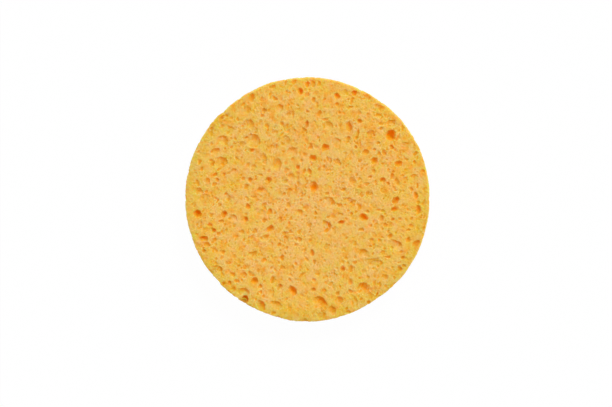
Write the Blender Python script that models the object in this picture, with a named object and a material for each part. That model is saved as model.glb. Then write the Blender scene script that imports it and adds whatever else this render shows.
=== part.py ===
"""Round cellulose face sponge, punched out of a slab of open-pored foam.

Metres, +Z up. The origin is the middle of the flat underside, and +Y points
to the top of the face as it lies in front of the viewer.
"""

import math
import random

import bmesh
import bpy
from mathutils import Matrix, Vector

# The punched slab. The die squeezes the foam while it cuts, so the wall springs back a little
# hollow between two softened edges.
DIAMETER = 0.076
THICKNESS = 0.010
EDGE_ROUND = 0.0006
WALL_HOLLOW = 0.0002
OUTLINE_SIDES = 96
EDGE_STEPS = 2
WALL_STEPS = 2

# The pores that the cuts open: the longest mouth and the deepest pocket of the working face.
PORE_MOUTH = 0.0034
PORE_DEPTH = 0.0021
# Foam left between two pores, and between a pore of the underside and the place it rests on.
PORE_WALL = 0.0003
REST_PATCH = 0.0040

# A bubble whose middle lies under the cut is a pocket with a lip, and one whose middle lies
# above the cut is a shallow bowl. Both are shares of the bubble's own half height.
POCKET_RISE_SHARE = -0.05
BOWL_RISE_SHARE = 0.40
# How far the bubbles' skins stray from true ovals.
SKIN_STRAY_SHARE = 0.09

# Pores of the working face: place (x, y) in shares of the sponge's radius, mouth (length, width)
# in shares of PORE_MOUTH, the turn of the length from +X in degrees, and the depth in shares of
# PORE_DEPTH. The pockets are the deep ones, from wide to small.
POCKET_SHARES = (
    (0.68, 0.52, 1.00, 0.76, 80, 1.00),
    (0.05, 0.10, 0.92, 0.74, 80, 0.85),
    (-0.32, 0.155, 0.52, 0.44, 120, 0.80),
    (-0.90, -0.12, 0.64, 0.58, 60, 0.85),
    (-0.685, -0.125, 0.56, 0.42, 80, 0.50),
    (-0.85, -0.325, 0.74, 0.42, 0, 0.60),
    (-0.31, -0.245, 0.68, 0.46, 30, 0.70),
    (-0.39, 0.07, 0.70, 0.38, 15, 0.50),
    (-0.49, -0.06, 0.56, 0.36, 75, 0.40),
    (-0.508, -0.168, 0.56, 0.36, 85, 0.55),
    (0.155, -0.235, 0.90, 0.66, 100, 0.65),
    (0.46, -0.15, 0.84, 0.48, 150, 0.75),
    (0.27, -0.195, 0.50, 0.30, 20, 0.50),
    (0.60, -0.157, 0.62, 0.38, 90, 0.45),
    (0.72, -0.012, 0.74, 0.44, 50, 0.60),
    (0.705, -0.085, 0.46, 0.36, 10, 0.60),
    (0.887, 0.025, 0.56, 0.38, 100, 0.60),
    (0.907, -0.09, 0.80, 0.38, 95, 0.60),
    (0.613, 0.153, 0.48, 0.36, 30, 0.60),
    (0.69, 0.185, 0.56, 0.32, 75, 0.50),
    (0.543, 0.312, 0.58, 0.46, 75, 0.65),
    (0.742, 0.287, 0.66, 0.46, 15, 0.55),
    (0.042, 0.332, 0.62, 0.42, 15, 0.65),
    (-0.08, 0.26, 0.40, 0.34, 80, 0.60),
    (0.012, 0.225, 0.58, 0.34, 120, 0.45),
    (0.14, 0.42, 0.82, 0.56, 60, 0.60),
    (0.022, 0.43, 0.50, 0.40, 110, 0.40),
    (-0.06, 0.88, 0.52, 0.42, 90, 0.70),
    (0.24, 0.84, 0.48, 0.40, 130, 0.60),
    (0.38, 0.867, 0.48, 0.42, 60, 0.60),
    (-0.457, 0.825, 0.74, 0.42, 80, 0.45),
    (-0.12, -0.75, 0.86, 0.58, 125, 0.75),
    (-0.435, -0.67, 0.58, 0.50, 30, 0.70),
    (-0.29, -0.665, 0.62, 0.32, 65, 0.50),
    (0.285, -0.58, 0.40, 0.36, 20, 0.65),
    (0.35, -0.575, 0.64, 0.40, 80, 0.40),
    (0.042, -0.445, 0.58, 0.28, 110, 0.45),
    (0.885, -0.37, 0.76, 0.50, 30, 0.45),
    (0.42, 0.635, 0.42, 0.38, 0, 0.60),
    (0.41, 0.54, 0.76, 0.24, 80, 0.40),
    (0.34, 0.59, 0.90, 0.46, 95, 0.50),
    (-0.01, 0.61, 0.66, 0.28, 88, 0.50),
    (0.092, 0.70, 0.62, 0.34, 55, 0.45),
    (0.47, 0.38, 0.62, 0.44, 10, 0.40),
    (-0.512, -0.825, 0.62, 0.50, 120, 0.70),
    (0.635, -0.64, 0.56, 0.42, 125, 0.35),
    (0.755, -0.577, 0.40, 0.34, 40, 0.50),
    (-0.775, -0.26, 0.32, 0.28, 20, 0.65),
    (0.788, -0.487, 0.34, 0.28, 40, 0.55),
    (0.675, -0.305, 0.46, 0.36, 80, 0.45),
    (-0.35, 0.722, 0.46, 0.28, 10, 0.45),
    (-0.46, 0.395, 0.40, 0.30, 60, 0.50),
    (-0.47, 0.152, 0.46, 0.38, 90, 0.40),
    (-0.36, -0.178, 0.44, 0.34, 50, 0.42),
    (0.69, 0.425, 0.50, 0.28, 125, 0.38),
    (0.295, 0.075, 0.36, 0.32, 60, 0.50),
    (0.40, 0.502, 0.34, 0.28, 60, 0.45),
    (0.825, -0.335, 0.52, 0.36, 70, 0.42),
    (-0.362, -0.502, 0.46, 0.32, 30, 0.42),
    (0.50, -0.85, 0.46, 0.30, 20, 0.40),
)
BOWL_SHARES = (
    (-0.44, 0.47, 1.30, 1.12, 120, 0.46),
    (-0.71, 0.295, 1.12, 1.00, 20, 0.46),
    (-0.255, 0.275, 1.05, 0.90, 90, 0.46),
    (0.68, 0.615, 0.92, 0.66, 0, 0.38),
    (0.72, -0.385, 1.20, 1.00, 150, 0.40),
    (0.455, -0.445, 0.82, 0.72, 40, 0.42),
    (0.45, -0.735, 1.00, 0.86, 40, 0.54),
    (-0.52, -0.765, 1.10, 0.70, 155, 0.46),
    (-0.13, 0.385, 0.86, 0.76, 0, 0.42),
    (0.10, -0.845, 1.32, 0.84, 155, 0.66),
    (0.255, -0.835, 0.80, 0.70, 60, 0.46),
    (0.20, -0.913, 0.80, 0.64, 120, 0.48),
    (-0.385, -0.875, 1.00, 0.74, 110, 0.58),
    (-0.70, 0.475, 1.00, 0.78, 150, 0.38),
)
# Pores that the die cut open at the rim: the place around the sponge in degrees from +X, and
# again the mouth and the depth. Their middles lie a little under the upper edge, by a share of
# the mouth's width, so that they notch it.
RIM_DROP_SHARE = 0.15
RIM_PORE_SHARES = (
    (137, 1.60, 0.40, 0.36),
    (217, 0.62, 0.42, 0.35),
    (238, 0.54, 0.46, 0.50),
    (256, 0.50, 0.30, 0.30),
    (269, 0.46, 0.40, 0.60),
    (306, 0.46, 0.30, 0.34),
    (315.5, 0.56, 0.30, 0.36),
)

# Pores with no place of their own, drawn from a fixed seed: how many, and the mouths that they
# lie between in shares of PORE_MOUTH.
SEED = 11
TOP_FILL_COUNT = 10
UNDERSIDE_LARGE_COUNT = 18
UNDERSIDE_FILL_COUNT = 26
WALL_LARGE_COUNT = 12
WALL_FILL_COUNT = 22
LARGE_MOUTH_SHARES = (0.50, 0.95)
FILL_MOUTH_SHARES = (0.20, 0.36)
FILL_REACH_SHARE = 0.93
ROUND_SHARES = (0.60, 0.95)
DEPTH_PER_MOUTH_SHARES = (0.45, 0.95)
MOST_TRIES = 4000
LARGE_SUBDIVISION_COUNT = 2
FILL_SUBDIVISION_COUNT = 1

FOAM_COLOUR = (0.82, 0.434, 0.078, 1.0)
FOAM_ROUGHNESS = 0.95
# Edges that turn by more than this are drawn sharp.
SHARP_DEGREES = 40

RADIUS = DIAMETER / 2
UP = Vector((0, 0, 1))


def clear_scene():
    for item in list(bpy.data.objects):
        bpy.data.objects.remove(item, do_unlink=True)


def foam_material():
    material = bpy.data.materials.new("cellulose_foam")
    material.use_nodes = True
    shader = material.node_tree.nodes["Principled BSDF"]
    shader.inputs["Base Color"].default_value = FOAM_COLOUR
    shader.inputs["Roughness"].default_value = FOAM_ROUGHNESS
    shader.inputs["Metallic"].default_value = 0
    return material


def wall_radius(height):
    """How far out the hollow wall stands at a height."""
    share = (height - EDGE_ROUND) / (THICKNESS - 2 * EDGE_ROUND)
    return RADIUS - WALL_HOLLOW * math.sin(math.pi * min(max(share, 0), 1))


def wall_profile():
    """(radius, height) pairs up the wall: a softened edge, the hollow wall, a softened edge."""
    corner = RADIUS - EDGE_ROUND
    low = []
    for step in range(EDGE_STEPS + 1):
        angle = math.pi / 2 * step / EDGE_STEPS
        rise = EDGE_ROUND * (1 - math.cos(angle))
        low.append((corner + EDGE_ROUND * math.sin(angle), rise))
    wall = []
    for step in range(1, WALL_STEPS):
        height = EDGE_ROUND + (THICKNESS - 2 * EDGE_ROUND) * step / WALL_STEPS
        wall.append((wall_radius(height), height))
    high = [(radius, THICKNESS - height) for radius, height in reversed(low)]
    return low + wall + high


def add_ring(mesh, radius, height):
    place = Matrix.Translation((0, 0, height))
    made = bmesh.ops.create_circle(mesh, segments=OUTLINE_SIDES, radius=radius, matrix=place)
    return list({edge for vert in made["verts"] for edge in vert.link_edges})


def slab_mesh():
    """The punched slab before its pores: rings up the wall, bridged, with a flat face at each end."""
    mesh = bmesh.new()
    rings = [add_ring(mesh, radius, height) for radius, height in wall_profile()]
    for lower, upper in zip(rings, rings[1:]):
        bmesh.ops.bridge_loops(mesh, edges=lower + upper)
    bmesh.ops.edgeloop_fill(mesh, edges=rings[0])
    bmesh.ops.edgeloop_fill(mesh, edges=rings[-1])
    bmesh.ops.recalc_face_normals(mesh, faces=mesh.faces)
    return finished_mesh(mesh, "sponge")


def finished_mesh(mesh, name):
    data = bpy.data.meshes.new(name)
    mesh.to_mesh(data)
    mesh.free()
    data.shade_smooth()
    data.set_sharp_from_angle(angle=math.radians(SHARP_DEGREES))
    return data


class Bubble:
    """An oval bubble that a cut opens, from its mouth on the cut and the depth below it."""

    def __init__(self, mouth_middle, outward, along, length, width, depth, rise_share):
        widening = 1 / math.sqrt(1 - rise_share**2)
        across = outward.cross(along)
        self.half_height = depth / (1 - rise_share)
        self.half_length = length / 2 * widening
        self.half_width = width / 2 * widening
        self.mouth = length
        self.middle = mouth_middle + outward * (rise_share * self.half_height)
        self.reach = max(self.half_length, self.half_width, self.half_height)
        turn = Matrix((along, across, outward)).transposed().to_4x4()
        sizes = Matrix.Diagonal((self.half_length, self.half_width, self.half_height, 1))
        self.place = Matrix.Translation(self.middle) @ turn @ sizes

    def clear_of(self, others):
        return all(
            (self.middle - other.middle).length > self.reach + other.reach + PORE_WALL
            for other in others
        )


def on_face(x, y, length, width, turn, depth, rise_share, height, outward):
    """A bubble of a flat face, from its place and length in metres and its turn in radians."""
    along = Vector((math.cos(turn), math.sin(turn), 0))
    return Bubble(Vector((x, y, height)), outward, along, length, width, depth, rise_share)


def on_wall(around, height, length, width, tilt, depth, rise_share):
    """A bubble of the punched wall, from its angle around the sponge and its height."""
    outward = Vector((math.cos(around), math.sin(around), 0))
    level = UP.cross(outward)
    along = level * math.cos(tilt) + UP * math.sin(tilt)
    middle = outward * wall_radius(height) + UP * height
    return Bubble(middle, outward, along, length, width, depth, rise_share)


def placed_pores():
    """The pores of the working face and its rim that have places of their own."""
    pores = []
    for rows, rise_share in ((POCKET_SHARES, POCKET_RISE_SHARE), (BOWL_SHARES, BOWL_RISE_SHARE)):
        for x, y, length, width, turn, depth in rows:
            pores.append(
                on_face(
                    x * RADIUS,
                    y * RADIUS,
                    length * PORE_MOUTH,
                    width * PORE_MOUTH,
                    math.radians(turn),
                    depth * PORE_DEPTH,
                    rise_share,
                    THICKNESS,
                    UP,
                )
            )
    for around, length, width, depth in RIM_PORE_SHARES:
        pores.append(
            on_wall(
                math.radians(around),
                THICKNESS - RIM_DROP_SHARE * width * PORE_MOUTH,
                length * PORE_MOUTH,
                width * PORE_MOUTH,
                0,
                depth * PORE_DEPTH,
                0,
            )
        )
    return pores


def drawn_mouth(draw, mouth_shares):
    length = PORE_MOUTH * draw.uniform(*mouth_shares)
    width = length * draw.uniform(*ROUND_SHARES)
    depth = min(length * draw.uniform(*DEPTH_PER_MOUTH_SHARES), PORE_DEPTH)
    return length, width, depth


def drawn_on_face(draw, mouth_shares, height, outward, rest_patch):
    """A bubble at a place drawn evenly over a flat face, outside the patch kept for resting."""
    length, width, depth = drawn_mouth(draw, mouth_shares)
    nearest = rest_patch + length / 2
    farthest = FILL_REACH_SHARE * RADIUS
    out = math.sqrt(draw.uniform(nearest**2, farthest**2))
    around = draw.uniform(0, 2 * math.pi)
    turn = draw.uniform(0, math.pi)
    rise_share = draw.uniform(POCKET_RISE_SHARE, BOWL_RISE_SHARE)
    x = out * math.cos(around)
    y = out * math.sin(around)
    return on_face(x, y, length, width, turn, depth, rise_share, height, outward)


def drawn_on_wall(draw, mouth_shares):
    length, width, depth = drawn_mouth(draw, mouth_shares)
    around = draw.uniform(0, 2 * math.pi)
    height = draw.uniform(length / 2, THICKNESS - length / 2)
    tilt = draw.uniform(0, math.pi)
    return on_wall(around, height, length, width, tilt, depth, POCKET_RISE_SHARE)


def drawn_clear(pores, count, draw_one):
    """Up to so many drawn bubbles, each clear of the ones already there and of one another."""
    added = []
    for _ in range(MOST_TRIES):
        if len(added) == count:
            break
        pore = draw_one()
        if pore.clear_of(pores + added):
            added.append(pore)
    return added


def all_pores():
    """The placed pores, and drawn ones that fill the underside, the wall and the working face."""
    draw = random.Random(SEED)
    pores = placed_pores()
    large = LARGE_MOUTH_SHARES
    fill = FILL_MOUTH_SHARES
    for count, draw_one in (
        (UNDERSIDE_LARGE_COUNT, lambda: drawn_on_face(draw, large, 0, -UP, REST_PATCH)),
        (WALL_LARGE_COUNT, lambda: drawn_on_wall(draw, large)),
        (TOP_FILL_COUNT, lambda: drawn_on_face(draw, fill, THICKNESS, UP, 0)),
        (UNDERSIDE_FILL_COUNT, lambda: drawn_on_face(draw, fill, 0, -UP, REST_PATCH)),
        (WALL_FILL_COUNT, lambda: drawn_on_wall(draw, fill)),
    ):
        pores += drawn_clear(pores, count, draw_one)
    return pores


def add_bubble(mesh, pore, draw):
    """One bubble as a ball of triangles, squeezed to its size, its skin straying a little."""
    large = pore.mouth >= LARGE_MOUTH_SHARES[0] * PORE_MOUTH
    count = LARGE_SUBDIVISION_COUNT if large else FILL_SUBDIVISION_COUNT
    made = bmesh.ops.create_icosphere(mesh, subdivisions=count, radius=1, matrix=pore.place)
    for vert in made["verts"]:
        stray = 1 + SKIN_STRAY_SHARE * draw.uniform(-1, 1)
        vert.co = pore.middle + (vert.co - pore.middle) * stray


def pore_cutters():
    draw = random.Random(SEED)
    mesh = bmesh.new()
    for pore in all_pores():
        add_bubble(mesh, pore, draw)
    bmesh.ops.recalc_face_normals(mesh, faces=mesh.faces)
    cutters = bpy.data.objects.new("pore_cutters", finished_mesh(mesh, "pore_cutters"))
    cutters.display_type = "WIRE"
    cutters.hide_render = True
    bpy.context.scene.collection.objects.link(cutters)
    return cutters


def make_sponge():
    data = slab_mesh()
    data.materials.append(foam_material())
    sponge = bpy.data.objects.new("sponge", data)
    bpy.context.scene.collection.objects.link(sponge)
    cut = sponge.modifiers.new("open_pores", "BOOLEAN")
    cut.operation = "DIFFERENCE"
    cut.solver = "EXACT"
    cut.use_self = True
    cut.object = pore_cutters()
    return sponge


clear_scene()
make_sponge()
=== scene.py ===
import math

import bpy
import numpy as np
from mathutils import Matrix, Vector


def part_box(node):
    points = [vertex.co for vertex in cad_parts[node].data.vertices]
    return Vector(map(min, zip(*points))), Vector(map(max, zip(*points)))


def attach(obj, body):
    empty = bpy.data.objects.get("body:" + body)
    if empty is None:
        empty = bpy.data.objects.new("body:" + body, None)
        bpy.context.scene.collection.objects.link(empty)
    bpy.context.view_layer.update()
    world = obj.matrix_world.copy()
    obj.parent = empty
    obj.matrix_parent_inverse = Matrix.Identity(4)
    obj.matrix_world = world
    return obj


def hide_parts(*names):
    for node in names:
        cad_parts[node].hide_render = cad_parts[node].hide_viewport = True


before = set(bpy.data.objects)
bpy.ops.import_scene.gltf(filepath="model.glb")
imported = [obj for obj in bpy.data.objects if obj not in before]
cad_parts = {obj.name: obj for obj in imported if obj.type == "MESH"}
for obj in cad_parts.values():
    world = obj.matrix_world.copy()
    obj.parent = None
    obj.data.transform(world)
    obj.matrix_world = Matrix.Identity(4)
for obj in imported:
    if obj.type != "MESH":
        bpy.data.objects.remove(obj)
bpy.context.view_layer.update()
spongeLow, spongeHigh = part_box("sponge")
radius = (spongeHigh.x - spongeLow.x) / 2
thickness = spongeHigh.z - spongeLow.z
scene = bpy.context.scene
scene.view_settings.view_transform = "Standard"
tiny = 1e-12  # keeps divisions away from zero
print("frame loaded: sponge", round(2 * radius, 4), "m across,", round(thickness, 4), "m thick")

# The photographed view: straight down, with the picture's top along +Y. Pixels count from the
# picture's upper left corner.
view = {
    "pictureWide": 612,
    "pictureHigh": 407,
    "spongeMiddle": (307.6, 198.9),
    "spongeAcross": 244.2,
    "lensMm": 100.0,
    "filmMm": 36.0,
}


# The camera stands so far above the working face that one pixel there is the sponge's real width
# over its width in pixels, and beside its middle by as many pixels as the photographed one.
def addCamera():
    pixel = 2 * radius / view["spongeAcross"]
    above = view["lensMm"] / view["filmMm"] * view["pictureWide"] * pixel
    middleX, middleY = view["spongeMiddle"]
    data = bpy.data.cameras.new("photoView")
    data.lens = view["lensMm"]
    data.sensor_width = view["filmMm"]
    camera = bpy.data.objects.new("photoView", data)
    camera.location = (
        (view["pictureWide"] / 2 - middleX) * pixel,
        (middleY - view["pictureHigh"] / 2) * pixel,
        thickness + above,
    )
    scene.collection.objects.link(camera)
    scene.camera = camera


addCamera()
print("camera placed")

# Even light from all round, and one broad lamp from the upper right, which shades the upper walls
# of the pores.
light = {
    "skyColour": (1.0, 1.0, 1.0),
    "skyStrength": 0.55,
    "lampStrength": 1.9,
    "lampTurn": 62.0,  # degrees from +X towards +Y
    "lampHeight": 48.0,  # degrees above the floor
    "lampSpread": 20.0,  # degrees that the lamp spans, which softens its shadows
}
floor = {
    "size": 4.0,
    "colour": (0.92, 0.92, 0.92),
    "glow": 0.98,  # how much of what looks straight at the floor is plain white
}


# Puts a plain value into a socket, or links another node's output to it.
def feed(tree, socket, value):
    if isinstance(value, bpy.types.NodeSocket):
        tree.links.new(value, socket)
    elif isinstance(value, tuple) and socket.type == "RGBA":
        socket.default_value = (*value, 1)
    else:
        socket.default_value = value


# One math node: the operation on one, two or three values.
def calc(tree, operation, *values):
    node = tree.nodes.new("ShaderNodeMath")
    node.operation = operation
    for socket, value in zip(node.inputs, values):
        feed(tree, socket, value)
    return node.outputs[0]


# 1 where something is seen directly, in a gloss or through glass, and 0 where it lights.
def seenDirectly(tree):
    path = tree.nodes.new("ShaderNodeLightPath")
    direct = calc(tree, "MAXIMUM", path.outputs["Is Camera Ray"], path.outputs["Is Glossy Ray"])
    return calc(tree, "MAXIMUM", direct, path.outputs["Is Transmission Ray"])


# The sky is seen as plain white and lights at its own strength.
def addLights():
    world = bpy.data.worlds.new("softRoom")
    world.use_nodes = True
    sky = world.node_tree.nodes["Background"]
    feed(world.node_tree, sky.inputs["Color"], light["skyColour"])
    direct = seenDirectly(world.node_tree)
    missing = 1 - light["skyStrength"]
    strength = calc(world.node_tree, "MULTIPLY_ADD", direct, missing, light["skyStrength"])
    feed(world.node_tree, sky.inputs["Strength"], strength)
    scene.world = world
    data = bpy.data.lights.new("broadLamp", "SUN")
    data.energy = light["lampStrength"]
    data.angle = math.radians(light["lampSpread"])
    lamp = bpy.data.objects.new("broadLamp", data)
    tilt = math.radians(90 - light["lampHeight"])
    lamp.rotation_euler = (0, tilt, math.radians(light["lampTurn"]))
    scene.collection.objects.link(lamp)


# Matte white. Seen directly it is mostly an even white, so that only a faint shadow is left on it,
# as in the photograph.
def floorMaterial():
    material = bpy.data.materials.new("whiteFloor")
    material.use_nodes = True
    tree = material.node_tree
    tree.nodes.clear()
    matte = tree.nodes.new("ShaderNodeBsdfDiffuse")
    white = tree.nodes.new("ShaderNodeEmission")
    mix = tree.nodes.new("ShaderNodeMixShader")
    out = tree.nodes.new("ShaderNodeOutputMaterial")
    feed(tree, matte.inputs["Color"], floor["colour"])
    feed(tree, mix.inputs["Fac"], calc(tree, "MULTIPLY", seenDirectly(tree), floor["glow"]))
    feed(tree, mix.inputs[1], matte.outputs[0])
    feed(tree, mix.inputs[2], white.outputs[0])
    feed(tree, out.inputs["Surface"], mix.outputs[0])
    return material


# A square of the floor round the sponge, which is no part of it.
def addFloor():
    half = floor["size"] / 2
    data = bpy.data.meshes.new("floor")
    corners = [(-half, -half, 0), (half, -half, 0), (half, half, 0), (-half, half, 0)]
    data.from_pydata(corners, [], [(0, 1, 2, 3)])
    data.materials.append(floorMaterial())
    piece = bpy.data.objects.new("floor", data)
    scene.collection.objects.link(piece)


addLights()
addFloor()
print("lights and floor placed")

# What a user would change about the foam. Lengths are in metres, and a share is of the length
# that its name or note gives.
foam = {
    "faceCells": 400,  # squares across each flat face, with four times as many round the rim
    "wallCells": 56,  # squares down the punched wall
    "spring": 0.0001,  # how far the foam springs out past the die's radius
    "edgeRound": 0.0006,  # the rounding of the punched edges
    "wallHollow": 0.0002,  # how far the wall between them is drawn in
    "outlineStray": 0.00004,  # how far the fine waves of the outline go
    "outlineWaves": range(9, 40),  # how often each of them goes up and down in one round
    "poreMouth": 0.0034,  # the longest mouth
    "poreDepth": 0.0021,  # the deepest pocket
    "poreWall": 0.0003,  # foam left between two wide pores
    "mouthStrayShare": 0.13,  # how far the widest wave round a mouth goes
    "mouthWaves": (2, 3, 4),  # how often each of these waves goes up and down in one round
    "mouthLimit": 3,  # the squared share of a mouth's reach that no outline strays past
    "taperShare": 0.25,  # how much wider one end of a mouth is, at most
    "searchShare": 1.4,  # how far around a pore points are looked for, in its half lengths
    "facingLeast": 0.1,  # a point is part of a pore only if it faces the same way by this much
    "toneFade": 4,  # how late a pore's painted shade fades towards its lip, as a power
    "swaySize": 0.0011,  # the size of the bends in the pores' outlines
    "swayReach": 0.00016,  # how far they go
    "lipRounding": 2,  # how often the placed pores' lips are smoothed by one square
    "fullToneShare": 0.55,  # the depth from which a placed pore has its full painted shade
    "leanTurn": 60.0,  # where the placed pores lean to, in degrees from +X
    "leanStray": 25.0,
    "calmSize": 0.0035,  # the size of the stretches of smoother foam
    "calmContrast": 3,  # how sharply they part from the rough ones
    "calmShare": 0.6,  # how deep the small pores are there
    "edgeReach": 0.0014,  # how far from the punched edges the drawn pores are shallower
    "edgeDepthShare": 0.5,  # their depth there
    "blurSteps": (2, 3, 9),  # smoothings of the surface, each on top of the last, to tell hollows
    "lowFade": 1.5,  # how late the lower rim's tint comes in down the wall, as a power
    "seed": 11,
}
# How far the outline lies outside a true circle, or inside where the share is below zero: degrees
# from +X and a share of the radius.
outlineShares = [
    (0, -0.002), (10, 0.001), (22, 0.004), (40, 0.004), (45, -0.001), (56, -0.004), (72, -0.004),
    (84, -0.003), (98, -0.003), (114, -0.002), (124, -0.005), (131, -0.005), (134, -0.010),
    (137, 0.006), (142, 0.005), (147, 0.000), (160, 0.004), (182, 0.003), (198, 0.001),
    (214, -0.001), (232, -0.001), (245, -0.004), (254, 0.001), (266, 0.005), (278, 0.004),
    (292, 0.001), (300, -0.005), (312, -0.004), (319, 0.004), (332, 0.001), (350, -0.001),
]
# How the placed pores of each kind are cut. The rise is how far the bubble's middle lies above the
# cut, in shares of its half height. The lean is how far its bottom lies to one side, in shares of
# the mouth's half length, and the tone is how much orange shade is painted into the bottom.
# placedPores counts on this order.
pocketLook = {"rise": -0.05, "lean": 0.20, "tone": 1.0}
speckLook = {"rise": 0.05, "lean": 0.15, "tone": 1.35}
bowlLook = {"rise": 0.35, "lean": 0.38, "tone": 0.1}
rimLook = {"rise": 0.0, "lean": 0.0, "tone": 0.5}

# Pores of the working face, from wide to small: place (x, y) in shares of the radius, the mouth's
# length and width in shares of poreMouth, the turn of its wider end from +X in degrees, the depth
# in shares of poreDepth. The pockets are deep, with dark orange shade painted into them.
pocketShares = [
    (0.68, 0.52, 1.00, 0.76, 80, 1.00),
    (-0.32, 0.155, 0.46, 0.38, 120, 0.80),
    (-0.90, -0.12, 0.64, 0.58, 60, 0.85),
    (-0.685, -0.125, 0.56, 0.42, 80, 0.65),
    (-0.85, -0.325, 0.74, 0.42, 0, 0.60),
    (-0.31, -0.245, 0.68, 0.46, 30, 0.70),
    (-0.39, 0.07, 0.70, 0.38, 15, 0.50),
    (-0.49, -0.06, 0.56, 0.36, 75, 0.52),
    (-0.508, -0.168, 0.56, 0.36, 85, 0.65),
    (0.048, 0.080, 0.56, 0.50, 10, 0.50),
    (0.176, -0.228, 0.70, 0.34, 80, 0.50),
    (0.46, -0.15, 0.84, 0.48, 150, 0.75),
    (0.275, -0.192, 0.48, 0.30, 20, 0.68),
    (0.60, -0.157, 0.62, 0.38, 90, 0.45),
    (0.72, -0.012, 0.74, 0.44, 50, 0.60),
    (0.705, -0.085, 0.46, 0.36, 10, 0.60),
    (0.887, 0.025, 0.56, 0.38, 100, 0.60),
    (0.907, -0.09, 0.80, 0.38, 95, 0.60),
    (0.613, 0.153, 0.48, 0.36, 30, 0.60),
    (0.69, 0.185, 0.56, 0.32, 75, 0.50),
    (0.543, 0.312, 0.58, 0.46, 75, 0.65),
    (0.742, 0.287, 0.66, 0.46, 15, 0.55),
    (0.042, 0.332, 0.62, 0.42, 15, 0.65),
    (-0.08, 0.26, 0.40, 0.34, 80, 0.60),
    (0.012, 0.225, 0.58, 0.34, 120, 0.45),
    (0.14, 0.42, 0.82, 0.56, 60, 0.60),
    (0.022, 0.43, 0.50, 0.40, 110, 0.40),
    (-0.06, 0.88, 0.52, 0.42, 90, 0.70),
    (0.24, 0.84, 0.48, 0.40, 130, 0.60),
    (0.38, 0.867, 0.48, 0.42, 60, 0.60),
    (-0.457, 0.825, 0.74, 0.42, 80, 0.45),
    (-0.12, -0.75, 0.86, 0.58, 125, 0.75),
    (-0.435, -0.67, 0.58, 0.50, 30, 0.70),
    (-0.29, -0.665, 0.62, 0.32, 65, 0.50),
    (0.285, -0.58, 0.40, 0.36, 20, 0.65),
    (0.35, -0.575, 0.64, 0.40, 80, 0.40),
    (0.036, -0.447, 0.58, 0.30, 105, 0.60),
    (0.885, -0.37, 0.76, 0.50, 30, 0.45),
    (0.42, 0.635, 0.42, 0.38, 0, 0.60),
    (0.41, 0.54, 0.76, 0.24, 80, 0.40),
    (0.34, 0.59, 0.90, 0.46, 95, 0.50),
    (-0.01, 0.61, 0.66, 0.28, 88, 0.50),
    (0.092, 0.70, 0.62, 0.34, 55, 0.45),
    (0.47, 0.38, 0.62, 0.44, 10, 0.40),
    (-0.512, -0.825, 0.66, 0.50, 120, 0.95),
    (0.635, -0.64, 0.56, 0.42, 125, 0.35),
    (0.755, -0.577, 0.40, 0.34, 40, 0.50),
]
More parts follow.
